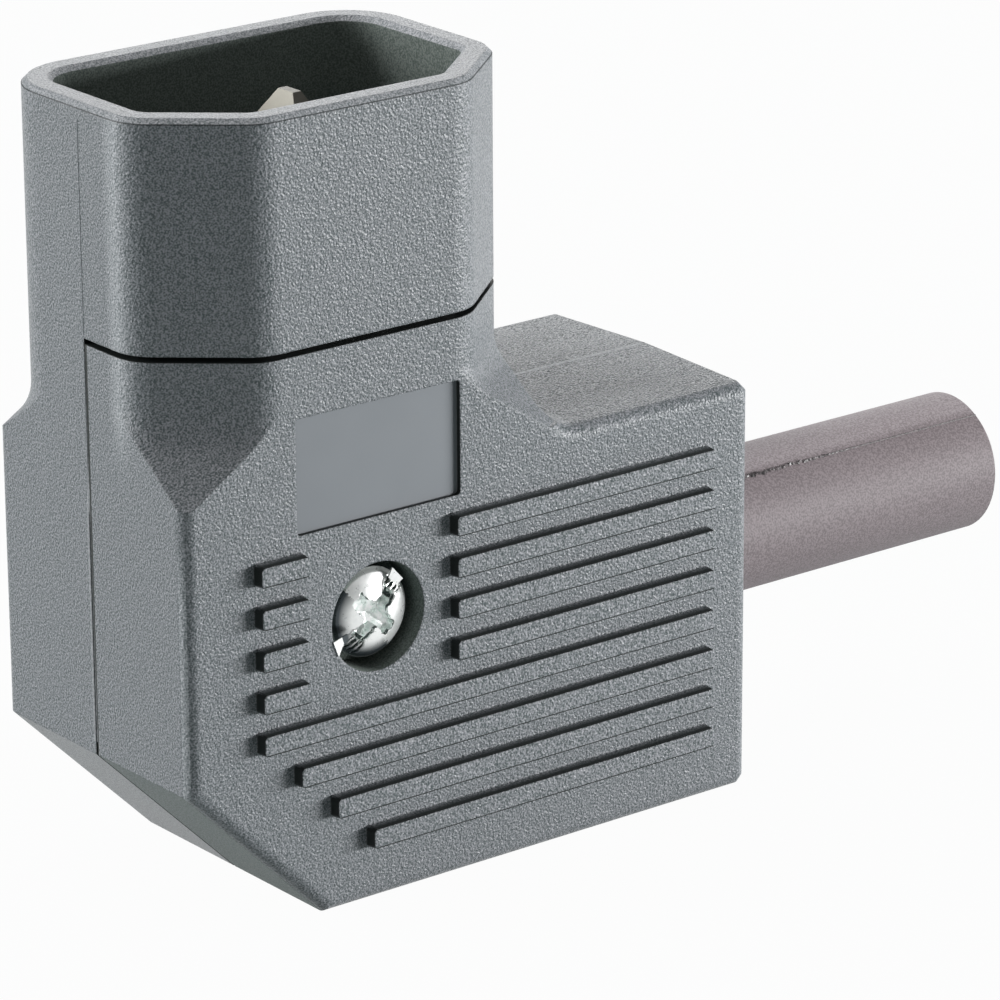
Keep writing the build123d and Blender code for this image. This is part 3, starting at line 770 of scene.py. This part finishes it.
def ease(value, low, high):
    """Smooth step from nought at one limit to one at the other."""
    share = min(max((value - low) / (high - low), 0.0), 1.0)
    return share * share * (3 - 2 * share)


def waver(place, waves):
    """Sum of a few waves at a place."""
    return sum(height * math.sin(place * pitch + shift) for height, pitch, shift in waves)


def head_height(along, across):
    """Height of the screw head over its edge, along and across the slot."""
    radius = math.hypot(along, across)
    dome = HEAD_DOME * (1 - (radius / HEAD_RADIUS) ** 2)
    height = dome - HEAD_EDGE_DROP * ease(radius, HEAD_RADIUS - HEAD_EDGE_WIDTH, HEAD_RADIUS)
    across, along = across + waver(along, ACROSS_WAVES), along + waver(across, ALONG_WAVES)
    far = max(abs(along), abs(across))
    near = min(abs(along), abs(across))
    half = SLOT_HALF + SLOT_FLARE * ease(abs(along), SLOT_FLARE_START, HEAD_RADIUS)
    slot = 1 - ease(abs(across), half - RECESS_SOFT, half + RECESS_SOFT)
    arms = 1 - ease(near, CROSS_HALF - RECESS_SOFT, CROSS_HALF + RECESS_SOFT)
    cross = arms * (1 - ease(far, CROSS_REACH - CROSS_TAPER, CROSS_REACH))
    heart = 1 - ease(far + near, *HEART_SPAN)
    scratches = 0.5 + 0.5 * math.sin(across * SCRATCH_ACROSS + along * SCRATCH_ALONG)
    torn = scratches * ease(abs(along), TORN_FROM, TORN_FROM + TORN_LENGTH)
    from_lip = (abs(across) - half - LIP_OFFSET) / LIP_WIDTH
    lip = math.exp(-(from_lip ** 2)) * ease(abs(along), *LIP_SPAN)
    height += LIP_RISE * lip * (1 - ease(radius, HEAD_RADIUS - LIP_END, HEAD_RADIUS))
    slot_floor = HEAD_DOME - SLOT_DEPTH + TORN_RISE * torn
    cross_floor = HEAD_DOME - CROSS_DEPTH + CROSS_RISE * far / CROSS_REACH
    height += slot * min(0.0, slot_floor - height)
    height += max(cross, heart) * min(0.0, cross_floor - height)
    return height


def screw_head():
    """Domed head with its worn recess on a plain shank."""
    form = bmesh.new()
    turn = math.radians(SLOT_ANGLE)
    bmesh.ops.create_grid(form, x_segments=HEAD_COLUMNS, y_segments=HEAD_ROWS, size=1.0)
    for vert in form.verts:
        lean = math.radians(HEAD_LEAN * vert.co.y)
        across = HEAD_RADIUS * math.sin(lean)
        along = HEAD_RADIUS * math.cos(lean) * vert.co.x
        x = SCREW_CENTRE[0] + along * math.cos(turn) - across * math.sin(turn)
        z = SCREW_CENTRE[1] + along * math.sin(turn) + across * math.cos(turn)
        vert.co = Vector((x, HEAD_EDGE - head_height(along, across), z)) * MM
    rim = [edge for edge in form.edges if edge.is_boundary]
    skirt = bmesh.ops.extrude_edge_only(form, edges=rim)["geom"]
    for vert in of_kind(skirt, bmesh.types.BMVert):
        vert.co.y = HEAD_SEAT * MM
    seat = [edge for edge in of_kind(skirt, bmesh.types.BMEdge) if edge.is_boundary]
    bmesh.ops.contextual_create(form, geom=seat)
    shank = bmesh.ops.create_cone(
        form,
        cap_ends=True,
        segments=SHANK_SIDES,
        radius1=SHANK_RADIUS * MM,
        radius2=SHANK_RADIUS * MM,
        depth=(SHANK_END - HEAD_SEAT) * MM,
    )["verts"]
    bmesh.ops.rotate(form, verts=shank, matrix=Matrix.Rotation(math.radians(90), 3, "X"))
    middle = Vector((SCREW_CENTRE[0], (SHANK_END + HEAD_SEAT) / 2, SCREW_CENTRE[1])) * MM
    bmesh.ops.translate(form, verts=shank, vec=middle)
    return form


def torn_burr(corners):
    """Shard of metal torn up at an end of the slot, from its corners beside the screw's middle."""
    form = bmesh.new()
    middle = Vector((SCREW_CENTRE[0], 0, SCREW_CENTRE[1]))
    face = form.faces.new([form.verts.new((middle + Vector(corner)) * MM) for corner in corners])
    raised = bmesh.ops.extrude_face_region(form, geom=[face])["geom"]
    back = of_kind(raised, bmesh.types.BMVert)
    bmesh.ops.translate(form, verts=back, vec=Vector((0, BURR_THICKNESS, 0)) * MM)
    return form


def close_screw():
    """The screw that closes the housing, with its two burrs."""
    zinc = worn_zinc("bright zinc")
    head = add_piece("cover_screw_worn", screw_head(), zinc)
    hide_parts("cover_screw")
    add_piece("lower_burr", torn_burr(LOWER_BURR), zinc)
    add_piece("upper_burr", torn_burr(UPPER_BURR), zinc)


def housing_flash():
    """Pale flash along the parting plane of the housing."""
    pale = flash_plastic("pale flash", PALE_FLASH)
    for name, points in (("shroud_flash", SHROUD_FLASH), ("parting_flash", PARTING_FLASH)):
        path = [((LEFT_END, offset, z), half_width, rise) for z, offset, half_width, rise in points]
        flash_line(name, path, Vector((-1, 0, 0)), pale)
    ridge = [((x, 0, RIDGE_HEIGHT), RIDGE_HALF_WIDTH, RIDGE_RISE) for x in RIDGE_SPAN]
    flash_line("ridge_flash", ridge, Vector((0, 0, 1)), pale)


def sleeve_flash():
    """Ragged flash along the sleeve, torn near the housing and fine at its end, painted nearly black as
    painted shade.
    """
    # The flash is painted nearly black as painted shade
    dark = flash_plastic("flash in painted shade", SHADED_FLASH_BLACK)
    chance = random.Random(SLEEVE_FLASH_SEED)
    angle = math.radians(SLEEVE_FLASH_ANGLE)
    outward = Vector((0, -math.cos(angle), math.sin(angle)))
    across = Vector((0, math.sin(angle), math.cos(angle)))
    start, end = SLEEVE_SPAN
    path = []
    for step in range(SLEEVE_FLASH_STEPS + 1):
        share = step / SLEEVE_FLASH_STEPS
        torn = max(0.0, 1 - share / SLEEVE_TORN_SHARE)
        wander = across * chance.uniform(-SLEEVE_TORN_WANDER, SLEEVE_TORN_WANDER) * torn
        half_width = SLEEVE_FLASH_HALF_WIDTH + SLEEVE_TORN_HALF_WIDTH * torn * chance.random()
        rise = SLEEVE_FLASH_RISE + SLEEVE_TORN_RISE * torn * chance.random()
        middle = Vector((start + share * (end - start), 0, CABLE_HEIGHT))
        path.append((middle + outward * SLEEVE_RADIUS + wander, half_width, rise))
    flash_line("sleeve_flash", path, outward, dark)


def floor_paint():
    """Pale paint that takes soft shadows and shows white to the camera and in reflections."""
    material = bpy.data.materials.new("pale floor")
    material.use_nodes = True
    parts = material.node_tree.nodes
    links = material.node_tree.links
    parts.clear()
    paint = parts.new("ShaderNodeBsdfDiffuse")
    paint.inputs["Color"].default_value = FLOOR_COLOUR
    glow = parts.new("ShaderNodeEmission")
    ray = parts.new("ShaderNodeLightPath")
    seen = ray.outputs["Is Camera Ray"]
    for kind in ("Is Glossy Ray", "Is Transmission Ray"):
        either = parts.new("ShaderNodeMath")
        either.operation = "MAXIMUM"
        links.new(seen, either.inputs[0])
        links.new(ray.outputs[kind], either.inputs[1])
        seen = either.outputs[0]
    share = parts.new("ShaderNodeMath")
    share.operation = "MULTIPLY"
    share.inputs[1].default_value = FLOOR_WHITE
    links.new(seen, share.inputs[0])
    mix = parts.new("ShaderNodeMixShader")
    links.new(share.outputs[0], mix.inputs["Fac"])
    links.new(paint.outputs[0], mix.inputs[1])
    links.new(glow.outputs[0], mix.inputs[2])
    output = parts.new("ShaderNodeOutputMaterial")
    links.new(mix.outputs[0], output.inputs["Surface"])
    return material


def lay_floor():
    """Wide floor under the plug."""
    mesh = bpy.data.meshes.new("floor")
    sheet = bmesh.new()
    bmesh.ops.create_grid(sheet, x_segments=1, y_segments=1, size=FLOOR_HALF)
    sheet.to_mesh(mesh)
    sheet.free()
    mesh.materials.append(floor_paint())
    floor = bpy.data.objects.new("floor", mesh)
    bpy.context.scene.collection.objects.link(floor)


def soft_box(name, place, width, height, power):
    """Studio lamp aimed at the middle of the plug, in metres and watts."""
    lamp = bpy.data.lights.new(name, "AREA")
    lamp.shape = "RECTANGLE"
    lamp.size = width
    lamp.size_y = height
    lamp.energy = power
    holder = bpy.data.objects.new(name, lamp)
    holder.location = place
    aim = Vector(LAMP_AIM) - Vector(place)
    holder.rotation_euler = aim.to_track_quat("-Z", "Y").to_euler()
    bpy.context.scene.collection.objects.link(holder)


def light_studio():
    """Dim even surroundings and four soft lamps."""
    world = bpy.data.worlds.new("studio")
    bpy.context.scene.world = world
    world.use_nodes = True
    air = world.node_tree.nodes["Background"]
    air.inputs["Color"].default_value = WHITE
    air.inputs["Strength"].default_value = AIR_STRENGTH
    soft_box("left soft box", place=(-0.40, 0.31, 0.18), width=0.3, height=0.3, power=2.9)
    soft_box("right soft box", place=(0.44, -0.32, 0.045), width=0.36, height=0.08, power=4.0)
    soft_box("back soft box", place=(0.35, 0.43, 0.24), width=0.3, height=0.3, power=0.8)
    soft_box("top soft box", place=(0.02, 0.1, 0.55), width=0.4, height=0.4, power=1.15)
    bpy.context.scene.view_settings.view_transform = "Standard"


def place_camera():
    """Camera at the photograph's place."""
    lens = bpy.data.cameras.new("camera")
    lens.sensor_width = CAMERA_SENSOR
    lens.lens = CAMERA_LENS
    lens.clip_start = CAMERA_NEAR
    lens.clip_end = CAMERA_FAR
    camera = bpy.data.objects.new("camera", lens)
    camera.location = CAMERA_PLACE
    camera.rotation_euler = [math.radians(turn) for turn in CAMERA_TURN]
    bpy.context.scene.collection.objects.link(camera)
    bpy.context.scene.camera = camera


dress_plug()
close_screw()
housing_flash()
sleeve_flash()
lay_floor()
light_studio()
place_camera()
